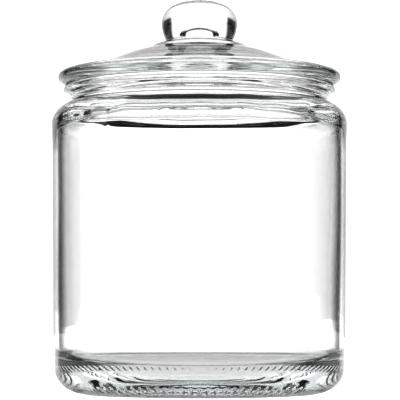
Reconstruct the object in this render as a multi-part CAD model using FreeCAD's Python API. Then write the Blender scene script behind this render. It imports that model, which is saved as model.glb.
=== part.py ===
import FreeCAD, Part
import os

# One-gallon glass storage jar with a lift-off glass lid. Millimetres, +Z up along the
# jar's axis. The origin is the centre of the ring on which the jar stands.

# Jar, outside
FOOT_R = 90.0           # where the heel meets the wall
WALL_TOP_R = 91.3       # the blown wall opens slightly towards the shoulder
BULGE_R = 91.7          # widest point, just under the shoulder
HEEL_Z = 19.2
WALL_TOP_Z = 156.0
BULGE_Z = 167.5
SHOULDER_R, SHOULDER_Z = 80.6, 180.1
NECK_R, NECK_Z = 79.2, 182.6
RIM_R = 84.4            # bead round the mouth
RIM_BEAD_Z = 188.5
RIM_Z = 190.8           # flat sealing face of the rim
RIM_UNDER_R, RIM_UNDER_Z = 82.6, 185.6
RIM_EDGE_R = 82.5

# Jar, inside
WALL = 3.4
MOUTH_R = 75.0
MOUTH_ROUND = 1.6
MOUTH_LOW_Z = 179.7
UNDER_SHOULDER_R, UNDER_SHOULDER_Z = 79.5, 173.5
WALL_IN_TOP_R, WALL_IN_TOP_Z = 88.5, 161.8
FLOOR_Z = 12.8          # top of the heavy base, beside the heel
FLOOR_CROWN = 1.4       # the floor rises this much at the centre
INNER_HEEL_Z = 30.0
FLOOR_R = 66.0

# Jar, underside
RING_IN_R, RING_OUT_R = 60.0, 65.0   # flat ring that carries the jar
PUNT_H = 3.5                         # push-up inside the ring
KNURLS = 104                         # grooves across the heel of the ring
KNURL_R = 1.5                        # radius of the tool that makes a groove
KNURL_DEPTH = 0.55
KNURL_AT = 0.42                      # place along the heel curve, 0 at the ring

# Lid
SEAT_Z = RIM_Z
FLANGE_R, FLANGE_Z = 87.8, 196.6     # widest point of the flange
FLANGE_LOW_R = 82.4
FLANGE_TOP_R, FLANGE_TOP_Z = 82.4, 199.75
DOME_FOOT_R, DOME_FOOT_Z = 79.0, 199.75
COLLAR_R, COLLAR_Z = 30.4, 215.0     # raised collar round the knob's foot
KNOB_FOOT_R, KNOB_FOOT_Z = 20.8, 219.4
KNOB_R, KNOB_Z = 23.6, 230.6
TOP_Z = 245.0
SKIRT_R = MOUTH_R - 1.2              # locates the lid in the mouth with play all round
SKIRT_LOW_Z = 182.8
SKIRT_WALL = 3.2
SKIRT_FILLET = 1.0
SKIRT_TOP_Z = 193.1                  # where the skirt runs into the dome, inside
HOLLOW_R, HOLLOW_Z = 10.2, 224.4     # hollow that runs up into the knob
HOLLOW_TOP_Z = 230.3
UNDER_DOME = ((27.0, 211.6), (41.0, 208.2), (53.0, 202.5), (61.1, 197.0))

ROUND = 0.5523          # handle length that makes a Bezier corner a quarter circle


def vec(point):
    """Turn (radius, height) into a vector in the XZ plane."""
    return FreeCAD.Vector(point[0], 0.0, point[1])


def line(start, end):
    return Part.LineSegment(vec(start), vec(end)).toShape()


def arc(start, middle, end):
    return Part.Arc(vec(start), vec(middle), vec(end)).toShape()


def bezier(*points):
    curve = Part.BezierCurve()
    curve.setPoles([vec(p) for p in points])
    return curve.toShape()


def corner(start, apex, end, out=ROUND, back=ROUND):
    """Round a corner: leave start towards apex and arrive at end from apex."""
    def towards(point, share):
        return (point[0] + share * (apex[0] - point[0]), point[1] + share * (apex[1] - point[1]))
    return bezier(start, towards(start, out), towards(end, back), end)


def spline(points, start_slope, end_slope):
    """Smooth curve through the points, with the slope given at each end."""
    curve = Part.BSplineCurve()
    curve.interpolate(Points=[vec(p) for p in points],
                      InitialTangent=vec(start_slope), FinalTangent=vec(end_slope))
    return curve.toShape()


def revolve(edges):
    """Turn a closed outline, drawn in radius and height, about the Z axis."""
    face = Part.Face(Part.Wire(edges))
    return face.revolve(FreeCAD.Vector(0, 0, 0), FreeCAD.Vector(0, 0, 1), 360.0)


def heel_curve():
    return corner((RING_OUT_R, 0.0), (FOOT_R, 0.0), (FOOT_R, HEEL_Z), out=0.61, back=0.64)


def jar_outside():
    """Edges from the punt's centre, over the ring, heel, wall, shoulder and neck, to the rim."""
    rim_under = (RIM_UNDER_R, RIM_UNDER_Z)
    neck_up = (NECK_R + 0.6, NECK_Z + 1.0)
    rim_edge = (RIM_EDGE_R, RIM_Z)
    return [
        arc((0.0, PUNT_H), (RING_IN_R / 2, 0.75 * PUNT_H), (RING_IN_R, 0.0)),
        line((RING_IN_R, 0.0), (RING_OUT_R, 0.0)),
        heel_curve(),
        line((FOOT_R, HEEL_Z), (WALL_TOP_R, WALL_TOP_Z)),
        corner((WALL_TOP_R, WALL_TOP_Z), (BULGE_R, BULGE_Z - 5.0), (BULGE_R, BULGE_Z)),
        corner((BULGE_R, BULGE_Z), (BULGE_R, SHOULDER_Z - 2.2), (SHOULDER_R, SHOULDER_Z), 0.58, 0.50),
        corner((SHOULDER_R, SHOULDER_Z), (NECK_R - 0.9, SHOULDER_Z + 0.5), (NECK_R, NECK_Z), 0.5, 0.5),
        corner((NECK_R, NECK_Z), (NECK_R + 0.1, NECK_Z + 0.5), neck_up, 0.5, 0.5),
        line(neck_up, rim_under),
        arc(rim_under, (RIM_R, RIM_BEAD_Z), rim_edge),
    ]


def jar_inside():
    """Edges from the rim's outer edge, down the mouth, shoulder and wall, to the floor's centre."""
    wall_top = (WALL_IN_TOP_R, WALL_IN_TOP_Z)
    wall_low = (FOOT_R - WALL, INNER_HEEL_Z)
    under_shoulder = (UNDER_SHOULDER_R, UNDER_SHOULDER_Z)
    return [
        line((RIM_EDGE_R, RIM_Z), (MOUTH_R + MOUTH_ROUND, RIM_Z)),
        corner((MOUTH_R + MOUTH_ROUND, RIM_Z), (MOUTH_R, RIM_Z), (MOUTH_R, RIM_Z - MOUTH_ROUND)),
        line((MOUTH_R, RIM_Z - MOUTH_ROUND), (MOUTH_R, MOUTH_LOW_Z)),
        corner((MOUTH_R, MOUTH_LOW_Z), (MOUTH_R, UNDER_SHOULDER_Z + 0.8), under_shoulder, 0.58, 0.5),
        corner(under_shoulder, (WALL_IN_TOP_R, UNDER_SHOULDER_Z - 2.8), wall_top, 0.44, 0.74),
        line(wall_top, wall_low),
        corner(wall_low, (wall_low[0], FLOOR_Z), (FLOOR_R, FLOOR_Z), 0.62, 0.60),
        corner((FLOOR_R, FLOOR_Z), (0.0, FLOOR_Z), (0.0, FLOOR_Z + FLOOR_CROWN), 0.5, 0.0),
        line((0.0, FLOOR_Z + FLOOR_CROWN), (0.0, PUNT_H)),
    ]


def knurl_tool():
    """Cylinder along the heel, sunk by the groove's depth where it is nearest."""
    heel = heel_curve().Curve
    place = heel.value(KNURL_AT)
    along = heel.tangent(KNURL_AT)[0]
    outward = FreeCAD.Vector(along.z, 0.0, -along.x)
    middle = place + outward * (KNURL_R - KNURL_DEPTH)
    reach = 12.0
    return Part.makeCylinder(KNURL_R, 2 * reach, middle - along * reach, along)


def make_jar():
    body = revolve(jar_outside() + jar_inside())
    tool = knurl_tool()
    grooves = []
    for i in range(KNURLS):
        groove = tool.copy()
        groove.rotate(FreeCAD.Vector(0, 0, 0), FreeCAD.Vector(0, 0, 1), 360.0 * i / KNURLS)
        grooves.append(groove)
    return body.cut(grooves)


def lid_outside():
    """Edges from the flange's underside, over the dome and collar, to the top of the knob."""
    return [
        corner((FLANGE_LOW_R, SEAT_Z), (FLANGE_R, SEAT_Z), (FLANGE_R, FLANGE_Z), 0.5, 0.55),
        corner((FLANGE_R, FLANGE_Z), (FLANGE_R, FLANGE_TOP_Z), (FLANGE_TOP_R, FLANGE_TOP_Z), 0.62, 0.62),
        line((FLANGE_TOP_R, FLANGE_TOP_Z), (DOME_FOOT_R, DOME_FOOT_Z)),
        spline([(DOME_FOOT_R, DOME_FOOT_Z), (66.4, 202.9), (54.2, 207.5), (43.2, 211.6),
                (COLLAR_R, COLLAR_Z)], (-1.0, 0.1), (-1.0, 0.22)),
        corner((COLLAR_R, COLLAR_Z), (COLLAR_R - 0.8, COLLAR_Z + 2.9),
               (KNOB_FOOT_R + 1.2, KNOB_FOOT_Z - 0.8), 0.6, 0.45),
        corner((KNOB_FOOT_R + 1.2, KNOB_FOOT_Z - 0.8), (KNOB_FOOT_R, KNOB_FOOT_Z - 0.4),
               (KNOB_FOOT_R + 0.1, KNOB_FOOT_Z + 0.6), 0.5, 0.5),
        corner((KNOB_FOOT_R + 0.1, KNOB_FOOT_Z + 0.6), (KNOB_R, KNOB_Z - 5.6), (KNOB_R, KNOB_Z), 0.4, 0.6),
        corner((KNOB_R, KNOB_Z), (KNOB_R, TOP_Z), (0.0, TOP_Z), 0.74, 0.50),
    ]


def lid_inside():
    """Edges from the top of the hollow, under the dome and round the skirt, to the seat."""
    skirt_in = SKIRT_R - SKIRT_WALL
    skirt_mid = SKIRT_R - SKIRT_WALL / 2
    return [
        corner((0.0, HOLLOW_TOP_Z), (HOLLOW_R, HOLLOW_TOP_Z), (HOLLOW_R, HOLLOW_Z), 0.62, 0.6),
        bezier((HOLLOW_R, HOLLOW_Z), (HOLLOW_R + 0.3, HOLLOW_Z - 8.9), (14.6, 216.8), UNDER_DOME[0]),
        spline(UNDER_DOME, (1.0, -0.26), (1.0, -0.42)),
        corner(UNDER_DOME[-1], (skirt_in, UNDER_DOME[-1][1]), (skirt_in, SKIRT_TOP_Z), 0.55, 0.6),
        line((skirt_in, SKIRT_TOP_Z), (skirt_in, SKIRT_LOW_Z + 2.0)),
        corner((skirt_in, SKIRT_LOW_Z + 2.0), (skirt_in, SKIRT_LOW_Z), (skirt_mid, SKIRT_LOW_Z)),
        corner((skirt_mid, SKIRT_LOW_Z), (SKIRT_R, SKIRT_LOW_Z), (SKIRT_R, SKIRT_LOW_Z + 2.0)),
        line((SKIRT_R, SKIRT_LOW_Z + 2.0), (SKIRT_R, SEAT_Z - SKIRT_FILLET)),
        corner((SKIRT_R, SEAT_Z - SKIRT_FILLET), (SKIRT_R, SEAT_Z), (SKIRT_R + SKIRT_FILLET, SEAT_Z)),
        line((SKIRT_R + SKIRT_FILLET, SEAT_Z), (FLANGE_LOW_R, SEAT_Z)),
    ]


def make_lid():
    axis = line((0.0, TOP_Z), (0.0, HOLLOW_TOP_Z))
    return revolve(lid_outside() + [axis] + lid_inside())


os.makedirs("parts", exist_ok=True)
for name, shape in {"jar": make_jar(), "lid": make_lid()}.items():
    shape.exportStep("parts/" + name + ".step")
    print(name, "valid", shape.isValid(), "solids", len(shape.Solids),
          "volume cm3", round(shape.Volume / 1000.0, 1))
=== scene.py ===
"""Glass storage jar with a lift-off glass lid, standing on a light table.

Both pieces are turned from outlines drawn as (radius, height) in millimetres, and replace the
plain CAD solids. The outlines follow the CAD model's dimensions. An APEX is where the two
tangents of a rounded corner meet.
"""

import math

import bpy
import numpy as np
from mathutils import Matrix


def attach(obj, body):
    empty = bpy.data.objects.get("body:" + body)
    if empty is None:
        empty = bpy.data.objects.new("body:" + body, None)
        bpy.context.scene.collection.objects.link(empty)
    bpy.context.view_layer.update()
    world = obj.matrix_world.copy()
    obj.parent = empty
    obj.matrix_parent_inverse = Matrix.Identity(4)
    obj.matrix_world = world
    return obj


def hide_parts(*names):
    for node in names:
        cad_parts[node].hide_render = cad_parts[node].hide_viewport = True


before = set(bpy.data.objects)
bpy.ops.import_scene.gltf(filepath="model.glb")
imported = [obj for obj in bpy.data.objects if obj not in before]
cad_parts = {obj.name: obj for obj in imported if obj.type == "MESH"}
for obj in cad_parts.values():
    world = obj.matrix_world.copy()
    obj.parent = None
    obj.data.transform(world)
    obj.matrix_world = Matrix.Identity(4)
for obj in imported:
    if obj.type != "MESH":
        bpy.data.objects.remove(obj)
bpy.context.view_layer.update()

MM = 0.001
ROUND = 0.5523          # handle length that makes a Bezier corner a quarter circle

# Jar outside, millimetres
RING_IN_R, RING_OUT_R, PUNT_H = 60.0, 65.0, 3.5
FOOT_R, HEEL_Z = 90.0, 19.2
HEEL = ((RING_OUT_R, 0.0), (FOOT_R, 0.0), (FOOT_R, HEEL_Z), 0.61, 0.64)
WALL_TOP_R, WALL_TOP_Z = 91.3, 156.0
BULGE_R, BULGE_Z, BULGE_APEX_Z = 91.7, 167.5, 162.5
SHOULDER_R, SHOULDER_Z, SHOULDER_APEX_Z = 80.6, 180.1, 177.9
NECK_R, NECK_Z, NECK_APEX = 79.2, 182.6, (78.3, 180.6)
FLARE, FLARE_APEX = (79.8, 183.6), (79.3, 183.1)
RIM_UNDER_R, RIM_UNDER_Z, RIM_EDGE_R = 82.6, 185.6, 82.5
RIM_R, RIM_BEAD_Z, RIM_Z = 84.4, 188.5, 190.8

# Jar inside, millimetres
MOUTH_R, MOUTH_ROUND, MOUTH_LOW_Z, MOUTH_APEX_Z = 75.0, 1.6, 179.7, 174.3
UNDER_SHOULDER_R, UNDER_SHOULDER_Z = 79.5, 173.5
WALL_IN_TOP_R, WALL_IN_TOP_Z, WALL_IN_APEX_Z = 88.5, 161.8, 170.7
WALL, INNER_HEEL_Z = 3.4, 30.0
FLOOR_R, FLOOR_Z, FLOOR_CROWN = 66.0, 12.8, 1.4

# Steps of the outline up to the heel's top, and how many of the heel's last ones stay plain
PUNT_STEPS, RING_STEPS, HEEL_STEPS, HEEL_PLAIN = 8, 2, 26, 4

# Radial grooves under the heel: how many, radius and depth, and where along the heel's curve
KNURLS, KNURL_R, KNURL_DEPTH, KNURL_AT = 104, 1.5, 0.55, 0.42

# Lid flange, dome and knob, millimetres
SEAT_GAP = 0.08         # pressed glass touches the rim at a few points only
SEAT_Z = RIM_Z + SEAT_GAP
FLANGE_R, FLANGE_Z, FLANGE_LOW_R = 87.8, 196.6, 82.4
FLANGE_TOP_R, FLANGE_TOP_Z = 82.4, 199.75
DOME = ((79.0, 199.75), (66.4, 202.9), (54.2, 207.5), (43.2, 211.6), (30.4, 215.0))
DOME_SLOPES = ((-1.0, 0.1), (-1.0, 0.22))
COLLAR_Z, COLLAR_APEX = DOME[-1][1], (29.6, 217.9)
KNOB_FOOT_OUT, KNOB_FOOT_APEX, KNOB_FOOT_UP = (22.0, 218.6), (20.8, 219.0), (20.9, 220.0)
KNOB_R, KNOB_Z, KNOB_APEX_Z, TOP_Z = 23.6, 230.6, 225.0, 245.0

# Lid skirt and underside, millimetres
SKIRT_R, SKIRT_WALL, SKIRT_FILLET = MOUTH_R - 1.2, 3.2, 1.0
SKIRT_LOW_Z, SKIRT_ROUND, SKIRT_TOP_Z = 182.8, 2.0, 193.1
HOLLOW_R, HOLLOW_Z, HOLLOW_TOP_Z = 10.2, 224.4, 230.3
HOLLOW_FLARE = ((10.5, 215.5), (14.6, 216.8))
UNDER_DOME = ((27.0, 211.6), (41.0, 208.2), (53.0, 202.5), (61.1, 197.0))
UNDER_DOME_SLOPES = ((1.0, -0.26), (1.0, -0.42))

SEGMENTS, LID_SEGMENTS = 4 * KNURLS, 360

# Uneven blown glass, millimetres: ripples of the jar's inside, and the wavy step under the shoulder
RIPPLE, RIPPLE_ROUND, RIPPLE_SEED = 0.16, (2, 3, 5, 8, 13), 4
STEP_WAVE, STEP_ROUND, STEP_SEED = 1.0, (3, 5, 9, 14, 22), 11
STEP_Z, STEP_REACH = 167.0, 7.0
FADE_UP, FADE_DOWN = 6.0, 15.0
WAVE_SIZE, WAVE_DRIFT = (0.5, 1.0), (-0.06, 0.06)

# Seams of the two half moulds, in degrees round from the front, and millimetres
JAR_SEAM, LID_SEAM = -36.6, -38.6
SEAM_HIGH, SEAM_HALF = 0.16, 0.8

# Clear glass, and the colour and density with which it absorbs light per metre
IOR = 1.52
ABSORB, DENSITY = (0.84, 0.85, 0.85, 1.0), 15.0
WHITE = (1.0, 1.0, 1.0, 1.0)

# Slow unevenness of the surface: waves per metre, and depth in metres
DRAW_SCALE, DRAW_DETAIL, DRAW_DEPTH = 16.0, 1.0, 0.00010

# Painted shade: the glass's colour is darkened towards black where it is seen edge on
EDGE_SHADE_FROM, EDGE_SHADE_TO, EDGE_SHADE_COLOUR = 0.52, 0.90, (0.0, 0.0, 0.0, 1.0)
MIX_SHARE, MIX_A, MIX_B, MIX_OUT = 0, 6, 7, 2       # colour sockets of a Mix node

# Table, in metres: it lies just under the foot; its glow is dimmed round the jar, a painted shadow pool,
# and bright further off
TABLE_R, TABLE_Z = 8.0, -0.0002
TABLE_GREY, TABLE_ROUGH, TABLE_IOR = (0.3, 0.3, 0.3, 1.0), 0.12, 1.7
TABLE_SHADE_POOL, TABLE_BRIGHT = 0.78, 1.0
SHADE_POOL_TO, BRIGHT_FROM = 0.20, 0.45
# Painted contact shadow: the table's glow is darker still right round the foot
CONTACT_SHADOW_LEVEL, CONTACT_SHADOW_START, CONTACT_SHADOW_END = 0.85, 0.055, 0.14

# Black flags lie on the table far beyond the jar, left and right: bearings from +Y and their
# softness in degrees, distances in metres, and the share of the light that they take
FLAG_FIRST, FLAG_LAST, FLAG_SOFT = 36.0, 70.0, 5.0
FLAG_NEAR, FLAG_FULL, FLAG_DARK = 1.5, 2.4, 0.95

# Light walls of the studio, each a strip that curves up overhead: direction clockwise from +Y,
# half width, softness of the sides, lowest and highest elevation, all in degrees, and brightness
LIGHT_WALLS = (
    (0.0, 36.0, 4.0, -25.0, 60.0, 1.20),
    (0.0, 45.0, 8.0, 54.0, 92.0, 0.90),
    (-90.0, 14.0, 3.0, -25.0, 30.0, 1.15),
)
WALL_SOFT = 4.0         # softness of the light walls' tops and bottoms, in degrees
CEILING = 0.02          # brightness that is added everywhere, light wall or not

# Camera, metres and degrees: an eye a little above the table that looks up at the jar's middle
EYE_AWAY, EYE_Z, EYE_TILT = 1.269, 0.0388, 3.684
LENS, SENSOR, SHIFT_X = 184.5, 36.0, 0.0015
CLIP_NEAR, CLIP_FAR = 0.05, 60.0

PRINT_EXPOSURE, PRINT_GAMMA = 0.10, 0.55    # a hard print: whites stay white and greys go darker
BOUNCES, GLOSSY_BOUNCES = 40, 24            # light crosses many faces of glass


# ---------------------------------------------------------------- outlines

def on_bezier(t, p0, p1, p2, p3):
    return (1 - t) ** 3 * p0 + 3 * t * (1 - t) ** 2 * p1 + 3 * t ** 2 * (1 - t) * p2 + t ** 3 * p3


def bezier(p0, p1, p2, p3, steps):
    """Points along a cubic Bezier, without its first."""
    t = (np.arange(steps) + 1.0)[:, None] / steps
    return on_bezier(t, *(np.array(p, float) for p in (p0, p1, p2, p3)))


def handles(start, apex, end, out, back):
    """The four Bezier points of a rounded corner."""
    start, apex, end = (np.array(p, float) for p in (start, apex, end))
    return start, start + out * (apex - start), end + back * (apex - end), end


def corner(start, apex, end, out=ROUND, back=ROUND, steps=10):
    """Round a corner: leave start towards apex and arrive at end from apex."""
    return bezier(*handles(start, apex, end, out, back), steps)


def line(start, end, steps):
    t = (np.arange(steps) + 1.0)[:, None] / steps
    return np.array(start, float) * (1 - t) + np.array(end, float) * t


def arc(start, middle, end, steps):
    """Circular arc through three points, without its first."""
    (ax, az), (bx, bz), (cx, cz) = start, middle, end
    d = 2 * (ax * (bz - cz) + bx * (cz - az) + cx * (az - bz))
    a2, b2, c2 = ax * ax + az * az, bx * bx + bz * bz, cx * cx + cz * cz
    ox = (a2 * (bz - cz) + b2 * (cz - az) + c2 * (az - bz)) / d
    oz = (a2 * (cx - bx) + b2 * (ax - cx) + c2 * (bx - ax)) / d
    r = math.hypot(ax - ox, az - oz)
    first = math.atan2(az - oz, ax - ox)
    turn = math.remainder(math.atan2(cz - oz, cx - ox) - first, math.tau)
    a = first + turn * (np.arange(steps) + 1.0) / steps
    return np.stack([ox + r * np.cos(a), oz + r * np.sin(a)], 1)


def smooth(points, slopes, steps):
    """Cubic through the points, with the direction given at each end."""
    points = np.array(points, float)
    tangents = np.gradient(points, axis=0)
    for end, slope in zip((0, -1), slopes):
        slope = np.array(slope, float)
        tangents[end] = slope / np.linalg.norm(slope) * np.linalg.norm(tangents[end])
    spans = [bezier(a, a + ta / 3, b - tb / 3, b, steps)
             for a, b, ta, tb in zip(points, points[1:], tangents, tangents[1:])]
    return np.concatenate(spans)


def jar_outline():
    """From the punt's centre, round the outside and the rim, down inside to the floor's centre.

    The numbers after a corner's three points are the lengths of its handles, as shares of the
    way to the apex, and its steps.
    """
    punt, ring_in, ring_out = (0.0, PUNT_H), (RING_IN_R, 0.0), (RING_OUT_R, 0.0)
    wall_foot, wall_top, bulge = (FOOT_R, HEEL_Z), (WALL_TOP_R, WALL_TOP_Z), (BULGE_R, BULGE_Z)
    shoulder, neck = (SHOULDER_R, SHOULDER_Z), (NECK_R, NECK_Z)
    rim_under, rim_edge = (RIM_UNDER_R, RIM_UNDER_Z), (RIM_EDGE_R, RIM_Z)
    mouth_top, mouth_in = (MOUTH_R + MOUTH_ROUND, RIM_Z), (MOUTH_R, RIM_Z - MOUTH_ROUND)
    mouth_low, under = (MOUTH_R, MOUTH_LOW_Z), (UNDER_SHOULDER_R, UNDER_SHOULDER_Z)
    in_top, in_low = (WALL_IN_TOP_R, WALL_IN_TOP_Z), (FOOT_R - WALL, INNER_HEEL_Z)
    floor_edge, crown = (FLOOR_R, FLOOR_Z), (0.0, FLOOR_Z + FLOOR_CROWN)
    return np.concatenate([
        [punt],
        arc(punt, (RING_IN_R / 2, 0.75 * PUNT_H), ring_in, PUNT_STEPS),
        line(ring_in, ring_out, RING_STEPS),
        corner(*HEEL, HEEL_STEPS),
        line(wall_foot, wall_top, 12),
        corner(wall_top, (BULGE_R, BULGE_APEX_Z), bulge, steps=5),
        corner(bulge, (BULGE_R, SHOULDER_APEX_Z), shoulder, 0.58, 0.50, 16),
        corner(shoulder, NECK_APEX, neck, 0.5, 0.5, 6),
        corner(neck, FLARE_APEX, FLARE, 0.5, 0.5, 3),
        line(FLARE, rim_under, 2),
        arc(rim_under, (RIM_R, RIM_BEAD_Z), rim_edge, 12),
        line(rim_edge, mouth_top, 2),
        corner(mouth_top, (MOUTH_R, RIM_Z), mouth_in, steps=5),
        line(mouth_in, mouth_low, 3),
        corner(mouth_low, (MOUTH_R, MOUTH_APEX_Z), under, 0.58, 0.5, 9),
        corner(under, (WALL_IN_TOP_R, WALL_IN_APEX_Z), in_top, 0.44, 0.74, 14),
        line(in_top, in_low, 14),
        corner(in_low, (in_low[0], FLOOR_Z), floor_edge, 0.62, 0.60, 16),
        corner(floor_edge, (0.0, FLOOR_Z), crown, 0.5, 0.0, 8),
    ])


def lid_outline():
    """From the top of the hollow, under the dome, round the skirt and flange, to the knob's top."""
    hollow_top, hollow = (0.0, HOLLOW_TOP_Z), (HOLLOW_R, HOLLOW_Z)
    skirt_in, skirt_mid = SKIRT_R - SKIRT_WALL, SKIRT_R - SKIRT_WALL / 2
    skirt_top, skirt_foot = (skirt_in, SKIRT_TOP_Z), (skirt_mid, SKIRT_LOW_Z)
    round_in, round_out = (skirt_in, SKIRT_LOW_Z + SKIRT_ROUND), (SKIRT_R, SKIRT_LOW_Z + SKIRT_ROUND)
    fillet_low, fillet_out = (SKIRT_R, SEAT_Z - SKIRT_FILLET), (SKIRT_R + SKIRT_FILLET, SEAT_Z)
    seat_edge, flange = (FLANGE_LOW_R, SEAT_Z), (FLANGE_R, FLANGE_Z)
    flange_top, knob = (FLANGE_TOP_R, FLANGE_TOP_Z), (KNOB_R, KNOB_Z)
    return np.concatenate([
        [hollow_top],
        corner(hollow_top, (HOLLOW_R, HOLLOW_TOP_Z), hollow, 0.62, 0.60, 14),
        bezier(hollow, *HOLLOW_FLARE, UNDER_DOME[0], 20),
        smooth(UNDER_DOME, UNDER_DOME_SLOPES, 7),
        corner(UNDER_DOME[-1], (skirt_in, UNDER_DOME[-1][1]), skirt_top, 0.55, 0.60, 12),
        line(skirt_top, round_in, 2),
        corner(round_in, (skirt_in, SKIRT_LOW_Z), skirt_foot, steps=7),
        corner(skirt_foot, (SKIRT_R, SKIRT_LOW_Z), round_out, steps=7),
        line(round_out, fillet_low, 2),
        corner(fillet_low, (SKIRT_R, SEAT_Z), fillet_out, steps=5),
        line(fillet_out, seat_edge, 3),
        corner(seat_edge, (FLANGE_R, SEAT_Z), flange, 0.50, 0.55, 16),
        corner(flange, (FLANGE_R, FLANGE_TOP_Z), flange_top, 0.62, 0.62, 12),
        line(flange_top, DOME[0], 2),
        smooth(DOME, DOME_SLOPES, 7),
        corner(DOME[-1], COLLAR_APEX, KNOB_FOOT_OUT, 0.6, 0.45, 10),
        corner(KNOB_FOOT_OUT, KNOB_FOOT_APEX, KNOB_FOOT_UP, 0.5, 0.5, 5),
        corner(KNOB_FOOT_UP, (KNOB_R, KNOB_APEX_Z), knob, 0.4, 0.6, 12),
        corner(knob, (KNOB_R, TOP_Z), (0.0, TOP_Z), 0.74, 0.50, 24),
    ])


# ---------------------------------------------------------------- turning

def turned(name, outline, segments, shape, fine=None):
    """Turn an outline, whose ends are on the axis, into a closed mesh.

    fine is the first and last of the outline points that get twice as many segments. shape moves
    the finished points: it takes their radii, heights and angles as arrays, and the outline's
    index, and returns radii and heights.
    """
    rings, verts, faces = [], [], []
    last = len(outline) - 1
    for i, (r, z) in enumerate(outline):
        count = 1 if i in (0, last) else segments * (2 if fine and fine[0] <= i <= fine[1] else 1)
        angle = math.tau * np.arange(count) / count
        new_r, new_z = shape(np.full(count, r), np.full(count, z), angle, i)
        rings.append(np.arange(count) + sum(len(v) for v in verts))
        verts.append(np.stack([new_r * np.sin(angle), -new_r * np.cos(angle), new_z], 1))
    for low, high in zip(rings, rings[1:]):
        a, b = len(low), len(high)
        if a == 1 or b == 1:
            ring, pole = (high, low[0]) if a == 1 else (low, high[0])
            for j in range(len(ring)):
                k = ring[(j + 1) % len(ring)]
                faces.append((pole, k, ring[j]) if a == 1 else (ring[j], k, pole))
        elif a == b:
            faces += [(low[j], low[(j + 1) % a], high[(j + 1) % a], high[j]) for j in range(a)]
        elif b == 2 * a:
            for j in range(a):
                k, m, n = (j + 1) % a, high[2 * j + 1], high[(2 * j + 2) % b]
                faces += [(low[j], m, high[2 * j]), (low[j], low[k], m), (low[k], n, m)]
        else:
            for j in range(b):
                k, m, n = (j + 1) % b, low[2 * j + 1], low[(2 * j + 2) % a]
                faces += [(low[2 * j], m, high[j]), (m, high[k], high[j]), (m, n, high[k])]
    mesh = bpy.data.meshes.new(name)
    mesh.from_pydata((np.concatenate(verts) * MM).tolist(), [], [tuple(map(int, f)) for f in faces])
    mesh.polygons.foreach_set("use_smooth", [True] * len(mesh.polygons))
    mesh.validate()
    mesh.update()
    piece = bpy.data.objects.new(name, mesh)
    bpy.context.scene.collection.objects.link(piece)
    return piece


def waves(angle, height, seed, counts):
    """Waves round the axis that drift with height, well within -1 to 1."""
    rng = np.random.default_rng(seed)
    total = np.zeros_like(angle)
    for count in counts:
        size, drift, start = rng.uniform(*WAVE_SIZE), rng.uniform(*WAVE_DRIFT), rng.uniform(0.0, math.tau)
        total += size * np.sin(count * angle + drift * height + start)
    return total / len(counts)


def seam(r, angle, at):
    """Raise a thin ridge where the two halves of the mould met, and opposite it."""
    off = r * np.sin(angle - math.radians(at))
    return r + SEAM_HIGH * np.exp(-(off / SEAM_HALF) ** 2)


# ---------------------------------------------------------------- jar

def knurled(r, z, angle):
    """Press the grooves of the heel into points of the outside."""
    p0, p1, p2, p3 = handles(*HEEL)
    t = KNURL_AT
    place = on_bezier(t, p0, p1, p2, p3)
    along = (1 - t) ** 2 * (p1 - p0) + 2 * t * (1 - t) * (p2 - p1) + t * t * (p3 - p2)
    along /= np.linalg.norm(along)
    outward = np.array([along[1], -along[0]])
    axis = place + outward * (KNURL_R - KNURL_DEPTH)
    pitch = math.tau / KNURLS
    side = r * (np.remainder(angle + pitch / 2, pitch) - pitch / 2)
    u = (r - axis[0]) * along[0] + (z - axis[1]) * along[1]
    v = (r - axis[0]) * outward[0] + (z - axis[1]) * outward[1]
    reach = np.sqrt(np.maximum(KNURL_R ** 2 - side ** 2, 0.0))
    v = np.where((np.abs(side) < KNURL_R) & (v > -reach), -reach, v)
    return axis[0] + u * along[0] + v * outward[0], axis[1] + u * along[1] + v * outward[1]


def make_jar():
    outline = jar_outline()
    rim = int(np.argmax(outline[:, 1]))
    first = 1 + PUNT_STEPS + RING_STEPS
    last = first + HEEL_STEPS - HEEL_PLAIN

    def shape(r, z, angle, index):
        if first <= index <= last:
            return knurled(r, z, angle)
        if index < rim:
            return (seam(r, angle, JAR_SEAM) if HEEL_Z < z[0] < RIM_UNDER_Z else r), z
        if INNER_HEEL_Z < z[0] < MOUTH_LOW_Z:
            fade = np.minimum((MOUTH_LOW_Z - z) / FADE_UP, (z - INNER_HEEL_Z) / FADE_DOWN).clip(0.0, 1.0)
            step = STEP_WAVE * np.exp(-((z - STEP_Z) / STEP_REACH) ** 2)
            r = r + fade * RIPPLE * waves(angle, z, RIPPLE_SEED, RIPPLE_ROUND)
            z = z + fade * step * waves(angle, 0.0, STEP_SEED, STEP_ROUND)
        return r, z

    return turned("jar_glass", outline, SEGMENTS, shape, fine=(first, last))


# ---------------------------------------------------------------- lid

def make_lid():
    outline = lid_outline()
    flange = int(np.argmax(outline[:, 0]))

    def shape(r, z, angle, index):
        if index >= flange and z[0] < COLLAR_Z:
            r = seam(r, angle, LID_SEAM)
        return r, z

    return turned("lid_glass", outline, LID_SEGMENTS, shape)


# ---------------------------------------------------------------- material

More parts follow.
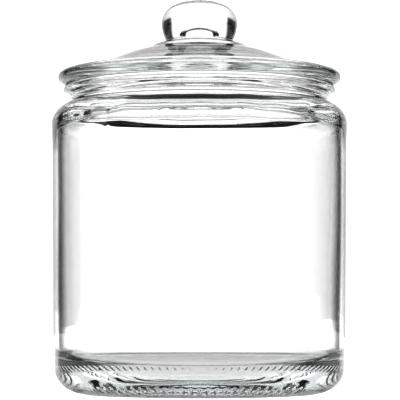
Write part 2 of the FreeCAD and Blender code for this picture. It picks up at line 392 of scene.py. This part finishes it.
def glass(name):
    mat = bpy.data.materials.new(name)
    mat.use_nodes = True
    nodes, links = mat.node_tree.nodes, mat.node_tree.links
    nodes.clear()
    out = nodes.new("ShaderNodeOutputMaterial")
    surface = nodes.new("ShaderNodeBsdfPrincipled")
    surface.inputs["Transmission Weight"].default_value = 1.0
    surface.inputs["IOR"].default_value = IOR
    surface.inputs["Roughness"].default_value = 0.0
    place = nodes.new("ShaderNodeTexCoord")
    noise = nodes.new("ShaderNodeTexNoise")
    noise.inputs["Scale"].default_value = DRAW_SCALE
    noise.inputs["Detail"].default_value = DRAW_DETAIL
    links.new(place.outputs["Object"], noise.inputs["Vector"])
    bump = nodes.new("ShaderNodeBump")
    bump.inputs["Distance"].default_value = DRAW_DEPTH
    links.new(noise.outputs["Fac"], bump.inputs["Height"])
    links.new(bump.outputs["Normal"], surface.inputs["Normal"])
    volume = nodes.new("ShaderNodeVolumeAbsorption")
    volume.inputs["Color"].default_value = ABSORB
    volume.inputs["Density"].default_value = DENSITY
    # Painted shade: the glass's colour darkens to black where the glass is seen edge on
    facing = nodes.new("ShaderNodeLayerWeight")
    facing.inputs["Blend"].default_value = 0.5
    edge_shade = ramp(mat.node_tree, facing.outputs["Facing"], EDGE_SHADE_FROM, EDGE_SHADE_TO)
    shaded_colour = nodes.new("ShaderNodeMix")
    shaded_colour.data_type = "RGBA"
    shaded_colour.inputs[MIX_A].default_value = WHITE
    shaded_colour.inputs[MIX_B].default_value = EDGE_SHADE_COLOUR
    links.new(edge_shade, shaded_colour.inputs[MIX_SHARE])
    links.new(shaded_colour.outputs[MIX_OUT], surface.inputs["Base Color"])
    links.new(surface.outputs["BSDF"], out.inputs["Surface"])
    links.new(volume.outputs["Volume"], out.inputs["Volume"])
    return mat


def math_node(tree, operation, *inputs):
    node = tree.nodes.new("ShaderNodeMath")
    node.operation = operation
    for i, value in enumerate(inputs):
        if isinstance(value, (int, float)):
            node.inputs[i].default_value = value
        else:
            tree.links.new(value, node.inputs[i])
    return node.outputs[0]


def ramp(tree, value, low, high, to_low=0.0, to_high=1.0):
    """Smooth step from to_low at low to to_high at high."""
    node = tree.nodes.new("ShaderNodeMapRange")
    node.interpolation_type = "SMOOTHSTEP"
    for key, number in (("From Min", low), ("From Max", high), ("To Min", to_low), ("To Max", to_high)):
        node.inputs[key].default_value = number
    tree.links.new(value, node.inputs["Value"])
    return node.outputs["Result"]


def soft_edge(tree, value, at, soft, to_low=0.0, to_high=1.0):
    """A ramp across the angle at, as wide as soft to each side, all in degrees."""
    at, soft = math.radians(at), math.radians(soft)
    return ramp(tree, value, at - soft, at + soft, to_low, to_high)


# ---------------------------------------------------------------- stage

def make_floor():
    bpy.ops.mesh.primitive_circle_add(vertices=96, radius=TABLE_R, fill_type="NGON",
                                      location=(0, 0, TABLE_Z))
    floor = bpy.context.object
    floor.name = "light_table"
    mat = bpy.data.materials.new("light_table")
    mat.use_nodes = True
    tree = mat.node_tree
    surface = tree.nodes["Principled BSDF"]
    surface.inputs["Base Color"].default_value = TABLE_GREY
    surface.inputs["Roughness"].default_value = TABLE_ROUGH
    surface.inputs["IOR"].default_value = TABLE_IOR
    surface.inputs["Emission Color"].default_value = WHITE
    place = tree.nodes.new("ShaderNodeNewGeometry")
    length = tree.nodes.new("ShaderNodeVectorMath")
    length.operation = "LENGTH"
    tree.links.new(place.outputs["Position"], length.inputs[0])
    far = length.outputs["Value"]
    # Painted shadow pool: the table's glow is lower round the jar
    shaded_glow = ramp(tree, far, SHADE_POOL_TO, BRIGHT_FROM, TABLE_SHADE_POOL, TABLE_BRIGHT)
    # Painted contact shadow under the jar's foot
    contact_shadow = ramp(tree, far, CONTACT_SHADOW_START, CONTACT_SHADOW_END, CONTACT_SHADOW_LEVEL, 1.0)
    split = tree.nodes.new("ShaderNodeSeparateXYZ")
    tree.links.new(place.outputs["Position"], split.inputs[0])
    x, y, _ = split.outputs
    bearing = math_node(tree, "ARCTAN2", math_node(tree, "ABSOLUTE", x), y)
    flag = math_node(tree, "MULTIPLY", soft_edge(tree, bearing, FLAG_FIRST, FLAG_SOFT),
                     soft_edge(tree, bearing, FLAG_LAST, FLAG_SOFT, 1.0, 0.0))
    flag = math_node(tree, "MULTIPLY", flag, ramp(tree, far, FLAG_NEAR, FLAG_FULL, 0.0, FLAG_DARK))
    shaded_glow = math_node(tree, "MULTIPLY", shaded_glow, math_node(tree, "SUBTRACT", 1.0, flag))
    tree.links.new(math_node(tree, "MULTIPLY", shaded_glow, contact_shadow), surface.inputs["Emission Strength"])
    floor.data.materials.append(mat)


def make_world():
    """A dark studio with light walls behind the jar and at its side."""
    world = bpy.data.worlds.new("studio")
    bpy.context.scene.world = world
    world.use_nodes = True
    tree = world.node_tree
    tree.nodes.clear()
    direction = tree.nodes.new("ShaderNodeTexCoord")
    split = tree.nodes.new("ShaderNodeSeparateXYZ")
    tree.links.new(direction.outputs["Generated"], split.inputs[0])
    x, y, z = split.outputs
    light = None
    for facing, half_width, soft, low, high, level in LIGHT_WALLS:
        sin, cos = math.sin(math.radians(facing)), math.cos(math.radians(facing))
        along = math_node(tree, "ADD", math_node(tree, "MULTIPLY", x, sin),
                          math_node(tree, "MULTIPLY", y, cos))
        across = math_node(tree, "SUBTRACT", math_node(tree, "MULTIPLY", x, cos),
                           math_node(tree, "MULTIPLY", y, sin))
        off = math_node(tree, "ARCSINE", math_node(tree, "ABSOLUTE", across))
        elevation = math_node(tree, "ARCTAN2", z, along)
        wall = soft_edge(tree, off, half_width, soft, level, 0.0)
        wall = math_node(tree, "MULTIPLY", wall, soft_edge(tree, elevation, high, WALL_SOFT, 1.0, 0.0))
        wall = math_node(tree, "MULTIPLY", wall, soft_edge(tree, elevation, low, WALL_SOFT))
        light = wall if light is None else math_node(tree, "MAXIMUM", light, wall)
    back = tree.nodes.new("ShaderNodeBackground")
    tree.links.new(math_node(tree, "ADD", light, CEILING), back.inputs["Strength"])
    back.inputs["Color"].default_value = WHITE
    out = tree.nodes.new("ShaderNodeOutputWorld")
    tree.links.new(back.outputs[0], out.inputs[0])


def make_camera():
    data = bpy.data.cameras.new("camera")
    data.sensor_width, data.lens, data.shift_x = SENSOR, LENS, SHIFT_X
    data.clip_start, data.clip_end = CLIP_NEAR, CLIP_FAR
    camera = bpy.data.objects.new("camera", data)
    camera.location = (0.0, -EYE_AWAY, EYE_Z)
    camera.rotation_euler = (math.radians(90.0 + EYE_TILT), 0.0, 0.0)
    bpy.context.scene.collection.objects.link(camera)
    bpy.context.scene.camera = camera


# ---------------------------------------------------------------- scene

for piece, body in ((make_jar(), "jar"), (make_lid(), "lid")):
    piece.data.materials.append(glass(body + "_clear_glass"))
    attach(piece, body)
    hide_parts(body)

make_floor()
make_world()
make_camera()

scene = bpy.context.scene
scene.view_settings.view_transform = "Standard"
scene.view_settings.exposure, scene.view_settings.gamma = PRINT_EXPOSURE, PRINT_GAMMA
scene.cycles.max_bounces = BOUNCES
scene.cycles.transmission_bounces = BOUNCES
scene.cycles.glossy_bounces = GLOSSY_BOUNCES
scene.cycles.caustics_refractive = True
scene.cycles.caustics_reflective = True
